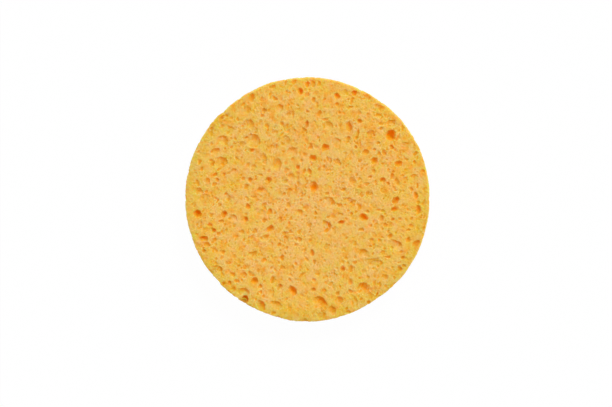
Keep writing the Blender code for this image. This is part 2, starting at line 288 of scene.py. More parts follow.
# The specks are smaller and less deep.
speckShares = [
    (0.152, -0.262, 0.54, 0.30, 20, 0.40),
    (0.506, -0.501, 1.60, 0.20, 0, 0.26),
    (0.584, -0.535, 0.50, 0.20, 80, 0.24),
    (-0.775, -0.258, 0.34, 0.30, 20, 0.75),
    (-0.213, -0.478, 0.42, 0.26, 0, 0.45),
    (0.779, -0.484, 0.36, 0.30, 40, 0.65),
    (0.047, -0.746, 0.36, 0.30, 20, 0.55),
    (0.565, -0.785, 0.34, 0.26, 80, 0.45),
    (0.675, -0.305, 0.46, 0.36, 80, 0.45),
    (0.145, 0.65, 0.62, 0.26, 5, 0.36),
    (-0.356, 0.725, 0.46, 0.30, 10, 0.55),
    (-0.335, 0.60, 0.52, 0.28, 160, 0.38),
    (-0.215, 0.615, 0.46, 0.30, 150, 0.40),
    (-0.462, 0.397, 0.42, 0.32, 60, 0.58),
    (-0.756, 0.198, 0.36, 0.28, 75, 0.55),
    (-0.741, 0.154, 0.30, 0.28, 0, 0.50),
    (-0.685, 0.197, 0.36, 0.28, 90, 0.45),
    (-0.47, 0.152, 0.46, 0.38, 90, 0.52),
    (-0.50, 0.105, 0.46, 0.36, 60, 0.30),
    (-0.31, -0.105, 0.46, 0.34, 20, 0.35),
    (-0.36, -0.178, 0.44, 0.34, 50, 0.42),
    (-0.73, -0.29, 0.34, 0.28, 60, 0.35),
    (-0.83, -0.37, 0.56, 0.34, 10, 0.38),
    (-0.85, -0.427, 0.36, 0.30, 0, 0.38),
    (0.60, 0.573, 0.30, 0.24, 45, 0.50),
    (0.575, 0.457, 0.34, 0.24, 0, 0.42),
    (0.69, 0.425, 0.50, 0.28, 125, 0.38),
    (0.585, 0.37, 0.40, 0.30, 30, 0.35),
    (0.885, 0.375, 0.36, 0.28, 80, 0.40),
    (0.873, 0.30, 0.34, 0.24, 90, 0.40),
    (-0.53, 0.772, 0.46, 0.32, 20, 0.38),
    (0.345, -0.68, 0.56, 0.36, 90, 0.35),
    (0.612, -0.44, 0.42, 0.34, 60, 0.32),
    (0.387, -0.522, 0.34, 0.28, 60, 0.32),
    (0.295, 0.075, 0.36, 0.32, 60, 0.50),
    (-0.285, 0.915, 0.42, 0.34, 30, 0.45),
    (-0.006, 0.936, 0.46, 0.36, 80, 0.40),
    (-0.375, 0.68, 0.34, 0.30, 60, 0.35),
    (-0.71, 0.665, 0.50, 0.36, 60, 0.36),
    (-0.665, 0.68, 0.46, 0.30, 150, 0.42),
    (-0.625, 0.662, 0.36, 0.26, 20, 0.30),
    (-0.505, 0.503, 0.36, 0.22, 0, 0.40),
    (-0.70, 0.595, 0.38, 0.28, 50, 0.30),
    (-0.895, 0.385, 0.34, 0.26, 60, 0.30),
    (0.045, 0.946, 0.56, 0.34, 110, 0.32),
    (0.098, 0.945, 0.46, 0.28, 90, 0.30),
    (-0.115, 0.957, 0.50, 0.36, 60, 0.30),
    (-0.18, 0.95, 0.46, 0.26, 80, 0.28),
    (0.05, 0.815, 0.48, 0.20, 80, 0.35),
    (0.075, 0.783, 0.36, 0.24, 0, 0.30),
    (0.24, 0.775, 0.30, 0.26, 0, 0.30),
    (-0.14, 0.60, 0.36, 0.30, 0, 0.25),
    (-0.215, 0.522, 0.38, 0.20, 45, 0.32),
    (0.357, 0.80, 0.52, 0.28, 90, 0.30),
    (0.40, 0.502, 0.34, 0.28, 60, 0.45),
    (0.60, 0.61, 0.38, 0.26, 0, 0.30),
    (0.74, 0.505, 0.42, 0.26, 90, 0.36),
    (0.43, 0.45, 0.42, 0.22, 90, 0.28),
    (0.63, 0.377, 0.34, 0.26, 80, 0.36),
    (-0.83, 0.06, 0.32, 0.24, 60, 0.34),
    (-0.905, 0.135, 0.50, 0.36, 80, 0.25),
    (-0.725, 0.24, 0.38, 0.28, 80, 0.30),
    (-0.87, 0.245, 0.38, 0.24, 100, 0.38),
    (-0.885, 0.30, 0.52, 0.30, 90, 0.26),
    (-0.78, 0.285, 0.48, 0.36, 100, 0.28),
    (-0.79, 0.317, 0.34, 0.22, 0, 0.30),
    (-0.525, 0.165, 0.30, 0.28, 0, 0.20),
    (-0.44, 0.012, 0.52, 0.28, 0, 0.30),
    (-0.385, 0.195, 0.36, 0.22, 0, 0.32),
    (-0.36, 0.245, 0.30, 0.24, 90, 0.30),
    (-0.49, 0.28, 0.40, 0.32, 30, 0.25),
    (-0.71, -0.185, 0.42, 0.26, 0, 0.32),
    (-0.79, -0.13, 0.38, 0.30, 0, 0.26),
    (-0.795, -0.215, 0.38, 0.24, 0, 0.32),
    (-0.435, -0.262, 0.38, 0.30, 60, 0.32),
    (-0.54, -0.268, 0.46, 0.30, 20, 0.25),
    (-0.12, 0.322, 0.36, 0.26, 140, 0.30),
    (-0.05, 0.315, 0.38, 0.24, 160, 0.36),
    (-0.03, 0.225, 0.52, 0.28, 70, 0.30),
    (0.13, 0.265, 0.36, 0.34, 0, 0.30),
    (-0.078, 0.13, 0.28, 0.26, 0, 0.45),
    (-0.15, 0.065, 0.46, 0.26, 130, 0.36),
    (-0.05, 0.035, 0.46, 0.28, 90, 0.25),
    (0.155, 0.045, 0.36, 0.24, 10, 0.25),
    (0.06, -0.117, 0.30, 0.26, 0, 0.36),
    (0.165, -0.152, 0.30, 0.26, 0, 0.36),
    (-0.148, -0.20, 0.36, 0.24, 100, 0.36),
    (0.012, -0.215, 0.38, 0.28, 30, 0.30),
    (-0.14, -0.268, 0.38, 0.20, 150, 0.30),
    (0.70, 0.22, 0.36, 0.28, 60, 0.30),
    (0.51, 0.178, 0.34, 0.26, 0, 0.30),
    (0.66, 0.125, 0.28, 0.22, 0, 0.42),
    (0.775, 0.19, 0.48, 0.24, 0, 0.25),
    (0.90, 0.11, 0.52, 0.20, 90, 0.36),
    (0.85, 0.078, 0.50, 0.28, 130, 0.36),
    (0.905, -0.035, 0.36, 0.22, 90, 0.32),
    (0.955, 0.085, 0.40, 0.28, 30, 0.25),
    (0.945, 0.225, 0.42, 0.24, 160, 0.30),
    (0.695, -0.167, 0.30, 0.26, 0, 0.46),
    (0.425, -0.07, 0.48, 0.34, 110, 0.36),
    (0.487, -0.105, 0.36, 0.24, 150, 0.36),
    (0.577, -0.09, 0.32, 0.24, 0, 0.28),
    (0.615, -0.10, 0.40, 0.24, 0, 0.28),
    (0.36, -0.125, 0.38, 0.24, 90, 0.42),
    (0.63, -0.215, 0.30, 0.24, 0, 0.34),
    (0.845, -0.218, 0.50, 0.28, 170, 0.32),
    (0.435, -0.253, 0.56, 0.28, 170, 0.26),
    (0.82, -0.255, 0.42, 0.24, 10, 0.30),
    (0.95, -0.245, 0.40, 0.28, 60, 0.30),
    (0.515, -0.335, 0.36, 0.24, 20, 0.36),
    (0.825, -0.335, 0.52, 0.36, 70, 0.42),
    (-0.695, -0.437, 0.46, 0.34, 10, 0.30),
    (-0.65, -0.528, 0.46, 0.24, 0, 0.26),
    (-0.50, -0.555, 0.42, 0.28, 0, 0.30),
    (-0.61, -0.625, 0.54, 0.26, 120, 0.36),
    (-0.585, -0.672, 0.48, 0.22, 0, 0.40),
    (-0.69, -0.695, 0.36, 0.28, 90, 0.42),
    (-0.635, -0.695, 0.34, 0.26, 90, 0.36),
    (-0.605, -0.735, 0.42, 0.26, 120, 0.30),
    (-0.39, -0.722, 0.42, 0.24, 0, 0.42),
    (-0.362, -0.502, 0.46, 0.32, 30, 0.42),
    (0.055, -0.52, 0.50, 0.30, 90, 0.26),
    (-0.065, -0.56, 0.36, 0.24, 60, 0.26),
    (-0.206, -0.56, 0.44, 0.26, 170, 0.36),
    (0.285, -0.52, 0.42, 0.26, 120, 0.32),
    (0.315, -0.487, 0.32, 0.24, 0, 0.36),
    (-0.145, -0.622, 0.38, 0.24, 0, 0.26),
    (0.145, -0.637, 0.40, 0.32, 0, 0.26),
    (0.05, -0.665, 0.46, 0.24, 140, 0.38),
    (0.08, -0.615, 0.42, 0.24, 0, 0.30),
    (0.193, -0.695, 0.38, 0.26, 80, 0.36),
    (0.245, -0.775, 0.46, 0.30, 120, 0.26),
    (-0.28, -0.935, 0.46, 0.34, 20, 0.38),
    (0.335, -0.925, 0.50, 0.32, 160, 0.30),
    (0.767, -0.432, 0.34, 0.24, 90, 0.36),
    (0.65, -0.478, 0.42, 0.24, 0, 0.30),
    (0.795, -0.553, 0.32, 0.24, 0, 0.36),
    (0.46, -0.59, 0.50, 0.28, 0, 0.22),
    (0.487, -0.635, 0.32, 0.26, 0, 0.26),
    (0.547, -0.69, 0.50, 0.34, 90, 0.26),
    (0.50, -0.85, 0.46, 0.30, 20, 0.40),
]
# The bowls are wide and shallow, and keep the face's colour.
bowlShares = [
    (0.05, 0.10, 0.94, 0.74, 80, 0.46),
    (0.15, -0.23, 0.90, 0.72, 100, 0.34),
    (-0.44, 0.47, 1.30, 1.12, 120, 0.46),
    (-0.71, 0.295, 1.12, 1.00, 20, 0.46),
    (-0.255, 0.275, 1.05, 0.90, 90, 0.46),
    (0.68, 0.615, 0.92, 0.66, 0, 0.38),
    (0.72, -0.385, 1.20, 1.00, 150, 0.40),
    (0.455, -0.445, 0.82, 0.72, 40, 0.42),
    (0.45, -0.735, 1.00, 0.86, 40, 0.54),
    (-0.52, -0.765, 1.10, 0.70, 155, 0.46),
    (-0.35, -0.32, 0.70, 0.50, 60, 0.36),
    (-0.13, 0.385, 0.86, 0.76, 0, 0.42),
    (0.545, -0.54, 1.56, 0.76, 0, 0.30),
    (-0.895, 0.06, 0.78, 0.50, 165, 0.38),
    (-0.72, -0.588, 0.96, 0.32, 112, 0.42),
    (0.10, -0.845, 1.32, 0.84, 155, 0.66),
    (0.255, -0.835, 0.80, 0.70, 60, 0.46),
    (0.20, -0.913, 0.80, 0.64, 120, 0.48),
    (-0.385, -0.875, 1.00, 0.74, 110, 0.58),
    (-0.26, -0.87, 1.00, 0.70, 0, 0.38),
    (-0.775, -0.585, 0.80, 0.44, 70, 0.26),
    (-0.45, -0.46, 0.80, 0.60, 20, 0.40),
    (-0.525, -0.622, 0.60, 0.40, 170, 0.38),
    (-0.235, -0.722, 0.60, 0.44, 30, 0.38),
    (0.13, -0.762, 0.62, 0.48, 60, 0.32),
    (0.385, -0.845, 0.90, 0.60, 130, 0.26),
    (-0.31, -0.77, 0.80, 0.76, 0, 0.22),
    (-0.51, 0.722, 0.90, 0.70, 30, 0.32),
    (-0.49, 0.605, 1.10, 0.80, 10, 0.36),
    (-0.635, 0.555, 0.95, 0.88, 0, 0.26),
    (-0.79, 0.545, 1.10, 0.30, 92, 0.28),
    (-0.70, 0.475, 1.00, 0.78, 150, 0.38),
    (-0.52, 0.555, 0.66, 0.44, 10, 0.20),
    (-0.762, 0.385, 0.90, 0.60, 15, 0.38),
    (-0.235, 0.74, 0.80, 0.66, 90, 0.30),
    (-0.15, 0.685, 0.90, 0.60, 20, 0.26),
    (0.165, 0.60, 0.90, 0.70, 140, 0.36),
    (-0.03, 0.555, 0.60, 0.46, 30, 0.32),
    (-0.185, 0.475, 0.80, 0.74, 90, 0.32),
    (-0.285, 0.42, 0.90, 0.62, 0, 0.28),
    (0.325, 0.485, 0.60, 0.40, 90, 0.32),
    (0.23, 0.455, 0.96, 0.76, 45, 0.26),
    (0.48, 0.83, 0.90, 0.50, 170, 0.22),
    (0.51, 0.525, 0.82, 0.70, 30, 0.40),
    (0.58, 0.68, 0.60, 0.42, 0, 0.22),
    (0.80, 0.435, 0.80, 0.60, 0, 0.22),
    (-0.85, -0.015, 1.25, 0.92, 95, 0.26),
    (-0.825, 0.145, 0.60, 0.44, 20, 0.32),
    (-0.615, 0.22, 0.80, 0.54, 20, 0.22),
    (-0.66, 0.0, 0.90, 0.78, 90, 0.24),
    (-0.615, -0.16, 0.80, 0.60, 0, 0.32),
    (0.18, 0.315, 0.50, 0.40, 0, 0.22),
    (0.18, -0.03, 1.00, 0.84, 130, 0.32),
    (-0.16, -0.05, 0.50, 0.44, 0, 0.30),
    (-0.07, -0.112, 0.72, 0.50, 0, 0.38),
    (0.265, -0.132, 0.66, 0.36, 0, 0.22),
    (0.215, -0.255, 0.70, 0.38, 70, 0.22),
    (-0.075, -0.335, 0.62, 0.50, 0, 0.32),
    (0.535, 0.225, 0.50, 0.40, 0, 0.26),
    (0.80, 0.155, 0.58, 0.42, 90, 0.22),
    (0.865, 0.16, 0.96, 0.70, 80, 0.22),
    (-0.765, -0.42, 0.60, 0.36, 90, 0.22),
]
# Pores that the die cut open at the rim: degrees around the sponge from +X, the mouth's length
# and width in shares of poreMouth, the depth in shares of poreDepth.
rimShares = [
    (137, 1.60, 0.40, 0.36),
    (217, 0.62, 0.42, 0.35),
    (238, 0.54, 0.46, 0.75),
    (256, 0.50, 0.30, 0.30),
    (269, 0.46, 0.40, 0.60),
    (306, 0.46, 0.30, 0.34),
    (315.5, 0.56, 0.30, 0.36),
]
# Drawn pores, from the wide ones of the underside and the wall, which no table places, to the
# fine pits that cover everything, the walls of the wider pores too. One is tried in each cube of
# the side spacing, and keep is the share that stays. Of each pair, a pore gets a value between the
# two: its mouth's length in metres, its width and depth in shares of that length, and its rise.
# Its tone, the orange shade painted into its bottom, lies between 0 and the one given.
drawnPores = {
    "wide": {"spacing": 0.0042, "keep": 1.0, "mouth": (0.0012, 0.0034), "skew": 2.2,
             "round": (0.6, 0.95), "depth": (0.35, 0.8), "rise": (-0.3, 0.4), "tone": 1.0},
    "middle": {"spacing": 0.0018, "keep": 0.6, "mouth": (0.0008, 0.0026), "skew": 2.0,
               "round": (0.55, 1.0), "depth": (0.09, 0.22), "rise": (0.1, 0.6), "tone": 0.4},
    "small": {"spacing": 0.0009, "keep": 0.62, "mouth": (0.0005, 0.0013), "skew": 2.0,
              "round": (0.55, 1.0), "depth": (0.13, 0.31), "rise": (0.1, 0.6), "tone": 0.4},
    "fine": {"spacing": 0.0005, "keep": 0.8, "mouth": (0.00038, 0.00075), "skew": 1.6,
             "round": (0.6, 1.0), "depth": (0.10, 0.28), "rise": (0.2, 0.6), "tone": 0.15},
}
# The closed cells between the pores: their size, how deep the hollow of each is, and how far from
# its middle the hollow ends, in shares of the size.
cellRelief = {"size": 0.00078, "depth": 0.0001, "wallShare": 0.75}


# A square grid pressed into a unit disc, so that each square ring of it becomes a round ring.
def discGrid(cells):
    line = np.linspace(-1, 1, cells + 1)
    a, b = np.meshgrid(line, line, indexing="ij")
    sideways = np.abs(a) > np.abs(b)
    out = np.where(sideways, a, b)
    divisor = np.where(out == 0, 1, out)
    turn = np.where(sideways, np.pi / 4 * b / divisor, np.pi / 2 - np.pi / 4 * a / divisor)
    return (out * np.cos(turn)).ravel(), (out * np.sin(turn)).ravel()


# The grid's outer points, once round.
def rimOrder(cells):
    side = np.arange(cells)
    line = cells + 1
    return np.concatenate(
        [side * line, cells * line + side, (cells - side) * line + cells, cells - side]
    )


# Down the wall in even steps: a quarter circle, the wall's shallow hollow as half a sine wave,
# and a quarter circle. Gives the distance in from the rim, the height and the lean of the
# outward direction.
def wallProfile():
    rounding = foam["edgeRound"]
    arc = rounding * math.pi / 2
    straight = thickness - 2 * rounding
    along = np.linspace(0, 2 * arc + straight, foam["wallCells"] + 1)
    upper = np.clip(along / arc, 0, 1) * math.pi / 2
    lower = np.clip((along - arc - straight) / arc, 0, 1) * math.pi / 2
    down = np.clip((along - arc) / straight, 0, 1)
    inward = rounding * (1 - np.sin(upper)) + rounding * (1 - np.cos(lower))
    inward = inward + foam["wallHollow"] * np.sin(math.pi * down)
    height = thickness - rounding * (1 - np.cos(upper)) - straight * down - rounding * np.sin(lower)
    return inward, height, math.pi / 2 - upper - lower


# The punched slab before its pores: two pressed grids, and the wall's profile carried round the
# rim. The radius follows the table of the outline, with fine waves on it that get smaller as they
# get closer. The rows are the wall's points, a row for each step down, with the rims of both faces
# as the first and the last.
def baseSlab():
    cells = foam["faceCells"]
    discX, discY = discGrid(cells)
    rim = rimOrder(cells)
    rng = np.random.default_rng(foam["seed"])
    around = np.arctan2(discY, discX)
    degrees, shares = np.array(outlineShares).T
    stray = radius * np.interp(np.degrees(around), degrees, shares, period=360)
    for waves in foam["outlineWaves"]:
        size = foam["outlineStray"] / math.sqrt(waves)
        stray += size * np.cos(waves * around + rng.uniform(0, 2 * np.pi))
    reach = radius + foam["spring"] + stray * np.hypot(discX, discY)
    flat = reach - foam["edgeRound"]
    inward, height, lean = wallProfile()
    upper = np.stack([discX * flat, discY * flat, np.full_like(discX, thickness)], 1)
    lower = upper * (1, 1, 0)
    turn = around[rim]
    ring = reach[rim] - inward[1:-1, None]
    high = np.broadcast_to(height[1:-1, None], ring.shape)
    wall = np.stack([ring * np.cos(turn), ring * np.sin(turn), high], 2).reshape(-1, 3)
    lean = np.broadcast_to(lean[1:-1, None], ring.shape)
    wallOut = np.stack([np.cos(lean) * np.cos(turn), np.cos(lean) * np.sin(turn), np.sin(lean)], 2)
    count = len(upper)
    places = np.concatenate([upper, wall, lower])
    up = np.tile((0.0, 0.0, 1.0), (count, 1))
    outward = np.concatenate([up, wallOut.reshape(-1, 3), -up])
    grid = np.arange(count).reshape(cells + 1, cells + 1)
    top = np.stack([grid[:-1, :-1], grid[1:, :-1], grid[1:, 1:], grid[:-1, 1:]], 2).reshape(-1, 4)
    inner = count + np.arange(len(wall)).reshape(ring.shape)
    rows = np.concatenate([rim[None], inner, count + len(wall) + rim[None]])
    ahead = np.roll(rows, -1, axis=1)
    band = np.stack([rows[:-1], rows[1:], ahead[1:], ahead[:-1]], 2).reshape(-1, 4)
    under = top[:, ::-1] + count + len(wall)
    return places, outward, np.concatenate([top, band, under]), rows


# The cross product of each face's diagonals, summed at its corners and brought to length 1.
def vertexNormals(places, faces):
    corners = places[faces]
    across = np.cross(corners[:, 2] - corners[:, 0], corners[:, 3] - corners[:, 1])
    total = np.zeros_like(places)
    for corner in range(4):
        for axis in range(3):
            total[:, axis] += np.bincount(faces[:, corner], across[:, axis], len(places))
    return total / np.maximum(np.linalg.norm(total, axis=1, keepdims=True), tiny)


# A set of pores, one to a row: the mouth's middle, the way out of it, its length and width
# directions in the surface, its sizes, the way that its bottom leans, how far the bubble's middle
# lies above the cut as a share of the bubble's half height, and how much orange shade is painted
# into its bottom. The turn of the length counts from +X on the flat faces and from +Z on the wall.
def poreSet(middle, outward, turn, length, width, depth, lean, rise, tone):
    flatLeast = 0.7  # what faces up or down by more than this counts as a flat face
    flat = np.abs(outward[:, 2:3]) > flatLeast
    level = np.where(flat, (1.0, 0.0, 0.0), (0.0, 0.0, 1.0))
    first = level - outward * (level * outward).sum(1, keepdims=True)
    first /= np.linalg.norm(first, axis=1, keepdims=True)
    second = np.cross(outward, first)
    cos, sin = np.cos(turn)[:, None], np.sin(turn)[:, None]
    return {
        "middle": middle,
        "outward": outward,
        "along": first * cos + second * sin,
        "across": second * cos - first * sin,
        "halfLength": length / 2,
        "halfWidth": width / 2,
        "depth": depth,
        "lean": lean,
        "rise": rise,
        "tone": tone,
    }


# Several sets of pores as one.
def joined(sets):
    return {key: np.concatenate([one[key] for one in sets]) for key in sets[0]}


# The pores of a set that are marked or numbered.
def picked(pores, which):
    return {key: value[which] for key, value in pores.items()}


# The pores of the working face and its rim that have places of their own. Those of the rim face
# outwards, half the edge's rounding under the cut, with their length along the rim. All lean to
# about the same side, and the shallow ones have less of their painted shade.
def placedPores():
    alongRim = 90
    rows = []
    for shares, look in (
        (pocketShares, pocketLook),
        (speckShares, speckLook),
        (bowlShares, bowlLook),
    ):
        for x, y, *sizes, turn, depth in shares:
            place = (x * radius, y * radius, thickness)
            rows.append((*place, 0, 0, 1, turn, *sizes, depth, *look.values()))
    drop = foam["edgeRound"] / 2
    for around, *sizes, depth in rimShares:
        x, y = math.cos(math.radians(around)), math.sin(math.radians(around))
        place = (x * radius, y * radius, thickness - drop)
        rows.append((*place, x, y, 0, alongRim, *sizes, depth, *rimLook.values()))
    table = np.array(rows, float)
    turn, length, width, depth, rise, lean, tone = table[:, 6:].T
    rng = np.random.default_rng(foam["seed"])
    toward = foam["leanTurn"] + foam["leanStray"] * rng.uniform(-1, 1, len(table))
    toward = np.radians(toward)
    aside = lean * length / 2 * foam["poreMouth"]
    tone = np.minimum(tone * depth / foam["fullToneShare"], 1)
    return poreSet(
        table[:, 0:3],
        table[:, 3:6],
        np.radians(turn),
        length * foam["poreMouth"],
        width * foam["poreMouth"],
        depth * foam["poreDepth"],
        np.stack([aside * np.cos(toward), aside * np.sin(toward), np.zeros_like(aside)], 1),
        rise,
        tone,
    )


# Whole-numbered cubes of a side, each with one number of its own.
def cubeKey(places, side):
    most = 8192  # cubes in each direction, more than the sponge is ever across
    cube = np.floor(places / side).astype(np.int64) + most // 2
    return (cube[:, 0] * most + cube[:, 1]) * most + cube[:, 2]


# A level's pores: a point of the surface drawn in each cube of the side spacing, out of those that
# are allowed, and for each a mouth between two sizes, small ones more often the higher skew is.
# The give at a point is how much of its depth a pore has there.
def drawPores(places, normals, level, rng, allowed, give):
    key = cubeKey(places + rng.uniform(0, level["spacing"], 3), level["spacing"])
    order = rng.permutation(len(places))
    order = order[allowed[order]]
    _, first = np.unique(key[order], return_index=True)
    chosen = order[first]
    chosen = chosen[rng.uniform(size=len(chosen)) < level["keep"]]
    count = len(chosen)
    small, large = level["mouth"]
    length = small + (large - small) * rng.uniform(size=count) ** level["skew"]
    width = length * rng.uniform(*level["round"], count)
    depth = length * rng.uniform(*level["depth"], count) * give[chosen]
    rise = rng.uniform(*level["rise"], count)
    turn = rng.uniform(0, 2 * np.pi, count)
    tone = rng.uniform(0, level["tone"], count)
    lean = np.zeros((count, 3))
    return poreSet(places[chosen], normals[chosen], turn, length, width, depth, lean, rise, tone)


# Which pores keep a gap to every one of the others, by their longer sides.
def clearOf(pores, others, gap):
    away = np.linalg.norm(pores["middle"][:, None] - others["middle"][None], axis=2)
    return away > pores["halfLength"][:, None] + others["halfLength"][None] + gap


# Keeps each pore that is clear of the ones kept before it.
def thinned(pores, gap):
    clear = clearOf(pores, pores, gap)
    kept = []
    for pore in range(len(clear)):
        if clear[pore, kept].all():
            kept.append(pore)
    return picked(pores, np.array(kept))


# Pairs of a point and a pore that are in the same cube of the side reach or in touching ones.
def nearPairs(places, middles, reach):
    key = cubeKey(places, reach)
    order = np.argsort(key, kind="stable")
    key = key[order]
    points, owners = [], []
    for step in np.ndindex(3, 3, 3):
        want = cubeKey(middles + (np.array(step) - 1) * reach, reach)
        first = np.searchsorted(key, want, "left")
        many = np.searchsorted(key, want, "right") - first
        ahead = np.arange(many.sum()) - np.repeat(np.cumsum(many) - many, many)
        points.append(order[np.repeat(first, many) + ahead])
        owners.append(np.repeat(np.arange(len(middles)), many))
    return np.concatenate(points), np.concatenate(owners)


# Every point inside a mouth slides onto the skin of the pore's oval bubble. A point at the share
# s of the way from the mouth's middle to its lip goes to the angle s * lip from the bubble's
# bottom, so that the skin is covered evenly up to the lip and under it. The mouth is an oval with
# one end wider, whose outline strays by a few waves and bends with the sway, and the bottom leans
# to one side. Each pore's tone is orange shade painted into it, full at its bottom and none at its
# lip.
def openPores(places, normals, pores, poreShade, sway, rng):
    count = len(pores["depth"])
    reach = pores["halfLength"].max() * foam["searchShare"]
    point, owner = nearPairs(places, pores["middle"], reach)
    gap = places[point] + sway[point] - pores["middle"][owner]
    above = np.abs((gap * pores["outward"][owner]).sum(1))
    facing = (normals[point] * pores["outward"][owner]).sum(1)
    u = (gap * pores["along"][owner]).sum(1) / pores["halfLength"][owner]
    v = (gap * pores["across"][owner]).sum(1) / pores["halfWidth"][owner]
    near = (facing > foam["facingLeast"]) & (above < pores["halfLength"][owner])
    near &= u**2 + v**2 < foam["mouthLimit"]
    point, owner, u, v = point[near], owner[near], u[near], v[near]
    taper = rng.uniform(0, foam["taperShare"], count)[owner]
    narrowed = v / (1 + taper * np.clip(u, -1, 1))
    turn = np.arctan2(narrowed, u)
    outline = np.ones_like(u)
    fewest = foam["mouthWaves"][0]
    for waves in foam["mouthWaves"]:
        size = foam["mouthStrayShare"] * rng.uniform(-fewest, fewest, count)[owner] / waves
        outline += size * np.cos(waves * turn + rng.uniform(0, 2 * np.pi, count)[owner])
    share = np.hypot(u, narrowed) / outline
    tone = pores["tone"][owner]
    inside = share < 1
    point, owner, share = point[inside], owner[inside], share[inside]
    u, v, tone = u[inside], v[inside], tone[inside]
    rise = pores["rise"][owner]
    lip = np.arccos(rise)
    angle = lip * share
    safe = np.maximum(share, tiny)
    spread = np.sin(lip * safe) / (np.sin(lip) * safe)
    down = (np.cos(angle) - rise) / (1 - rise)
    sunk = pores["depth"][owner] * down
    sideLength = (spread - 1) * u * pores["halfLength"][owner]
    sideWidth = (spread - 1) * v * pores["halfWidth"][owner]
    moved = places.copy()
    for axis in range(3):
        move = sideLength * pores["along"][owner, axis] + sideWidth * pores["across"][owner, axis]
        move += down * pores["lean"][owner, axis] - sunk * pores["outward"][owner, axis]
        moved[:, axis] += np.bincount(point, move, len(places))
    tone = tone * (1 - share ** foam["toneFade"])
    return moved, np.maximum(poreShade, np.bincount(point, tone, len(places)))


# Large primes and a mixing factor, which turn whole numbers into even random ones of 32 bits.
scramble = {
    "cube": (73856093, 19349663, 83492791),
    "seed": 7919,
    "turn": 104729,
    "mixer": 0x45D9F3B,
    "bits": 32,
}


# Three even random shares for each whole-numbered cube, always the same ones: its numbers times the
# primes, laid over each other bit by bit, and mixed twice by their upper half and a product.
def scrambled(cube, seed):
    mask = 2 ** scramble["bits"] - 1
    half = scramble["bits"] // 2
    x, y, z = (cube[:, axis] * scramble["cube"][axis] for axis in range(3))
    shares = []
    for turn in range(3):
        value = ((x ^ y ^ z) + seed * scramble["seed"] + turn * scramble["turn"]) & mask
        for _ in range(2):
            value = (value ^ (value >> half)) * scramble["mixer"] & mask
        shares.append((value ^ (value >> half)) / (mask + 1))
    return np.stack(shares, 1)


# Distance to the nearest of the points strewn one to a cube, in shares of the cube's side: low in
# the middle of a foam cell and high on the walls between cells.
def cellNoise(places, size, seed):
    scaled = places / size
    base = np.floor(scaled).astype(np.int64)
    nearest = np.full(len(places), np.inf)
    for step in np.ndindex(3, 3, 3):
        cube = base + np.array(step) - 1
        nearest = np.minimum(nearest, ((cube + scrambled(cube, seed) - scaled) ** 2).sum(1))
    return np.sqrt(nearest)


# Random shares at the corners of the cubes of a size, blended between them by the smooth step
# 3 t squared - 2 t cubed.
def softNoise(places, size, seed):
    scaled = places / size
    base = np.floor(scaled).astype(np.int64)
    way = scaled - base
    way = way * way * (3 - 2 * way)
    total = np.zeros(len(places))
    for corner in np.ndindex(2, 2, 2):
        weight = np.where(corner, way, 1 - way).prod(1)
        total += weight * scrambled(base + np.array(corner), seed)[:, 0]
    return total


# The mean place of each point's neighbours along the edges, repeated so many times.
def relaxed(places, faces, times):
    count = len(places)
    here = np.concatenate([faces[:, corner] for corner in range(4)])
    there = np.concatenate([faces[:, (corner + 1) % 4] for corner in range(4)])
    start, end = np.concatenate([here, there]), np.concatenate([there, here])
    many = np.bincount(start, minlength=count)[:, None]
    for _ in range(times):
        sums = [np.bincount(start, places[end, axis], count) for axis in range(3)]
        places = np.stack(sums, 1) / many
    return places
